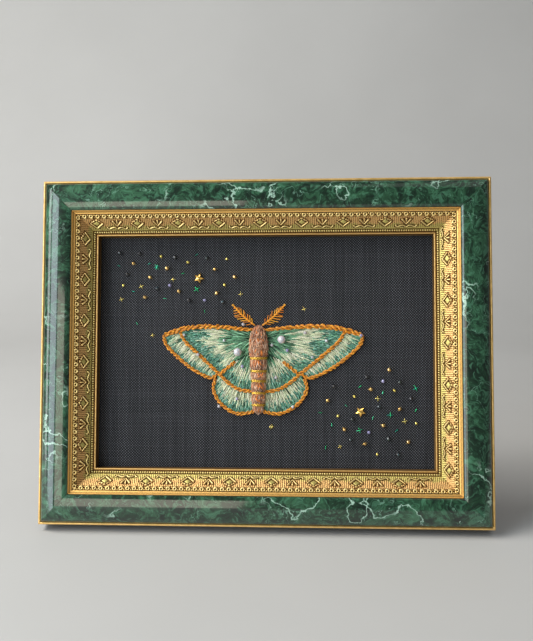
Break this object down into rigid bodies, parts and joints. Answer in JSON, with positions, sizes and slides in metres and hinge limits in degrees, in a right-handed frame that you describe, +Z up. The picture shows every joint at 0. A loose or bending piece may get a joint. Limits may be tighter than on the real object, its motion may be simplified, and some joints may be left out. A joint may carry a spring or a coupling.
{
  "type": "framed embroidered moth",
  "caption": "Tabletop picture frame with a green marbled cushion moulding and gilt ornament band, holding a moth embroidered on black cloth, on a folding easel leg.",
  "frame": {"origin": "on the table, under the middle of the frame's box, between its lower back edge and its leg", "axes": "+X to the viewer's right along the frame, +Y backwards, so the picture faces -Y, +Z up"},
  "size_m": [0.219, 0.0722, 0.168],
  "materials": {
    "green_marble": "green verde-marble paint effect under gloss lacquer, with a gilt outer lip",
    "gilding": "aged two-tone gold gilding over moulded composition",
    "black_cloth": "black plain-weave cotton",
    "card": "grey mounting card",
    "backing": "brown hardboard",
    "tab_steel": "thin bright steel",
    "hinge_brass": "satin brass plate",
    "leg_board": "black painted board",
    "wing_thread": "green and cream long-and-short stitch in stranded cotton",
    "rust_thread": "rust-orange stem stitch in stranded cotton",
    "antenna_thread": "rust-orange single strand",
    "body_thread": "brown padded satin stitch, fuzzy",
    "metal_thread": "gold metallic thread",
    "pearl": "white pearl lustre",
    "star_metal": "polished gold-coloured cast charm",
    "gold_bead": "metallic gold seed bead"
  },
  "bodies": {
    "frame": {"rail_top": "green_marble", "liner_top": "gilding", "rail_left": "green_marble", "liner_left": "gilding", "rail_bottom": "green_marble", "liner_bottom": "gilding", "rail_right": "green_marble", "liner_right": "gilding", "fabric": "black_cloth", "mount_card": "card", "backing_board": "backing", "retaining_tab_1": "tab_steel", "retaining_tab_2": "tab_steel", "retaining_tab_3": "tab_steel", "retaining_tab_4": "tab_steel", "retaining_tab_5": "tab_steel", "retaining_tab_6": "tab_steel", "hinge_bracket": "hinge_brass", "forewing_left": "wing_thread", "hindwing_left": "wing_thread", "costa_cord_left": "rust_thread", "forewing_cords_left": "rust_thread", "hindwing_cord_left": "rust_thread", "antenna_left": "antenna_thread", "forewing_right": "wing_thread", "hindwing_right": "wing_thread", "costa_cord_right": "rust_thread", "forewing_cords_right": "rust_thread", "hindwing_cord_right": "rust_thread", "antenna_right": "antenna_thread", "moth_body": "body_thread", "body_wrap_1": "metal_thread", "body_wrap_2": "metal_thread", "body_wrap_3": "metal_thread", "body_wrap_4": "metal_thread", "body_wrap_5": "metal_thread", "pearl_left": "pearl", "pearl_right": "pearl", "star_charm_1": "star_metal", "star_charm_2": "star_metal", "seed_bead_1": "gold_bead", "seed_bead_2": "gold_bead", "seed_bead_3": "gold_bead", "seed_bead_4": "gold_bead", "seed_bead_5": "gold_bead", "seed_bead_6": "gold_bead", "seed_bead_7": "gold_bead", "seed_bead_8": "gold_bead", "seed_bead_9": "gold_bead", "seed_bead_10": "gold_bead", "seed_bead_11": "gold_bead", "seed_bead_12": "gold_bead", "seed_bead_13": "gold_bead", "seed_bead_14": "gold_bead", "seed_bead_15": "gold_bead", "seed_bead_16": "gold_bead"},
    "leg": {"easel_leg": "leg_board", "hinge_leaf": "hinge_brass"}
  },
  "joints": [
    {"name": "leg_fold", "type": "hinge", "parent": "frame", "child": "leg", "pos_m": [0, 0.00868, 0.11116], "axis": [1, 0, 0], "range_deg": [-24, 0]}
  ]
}
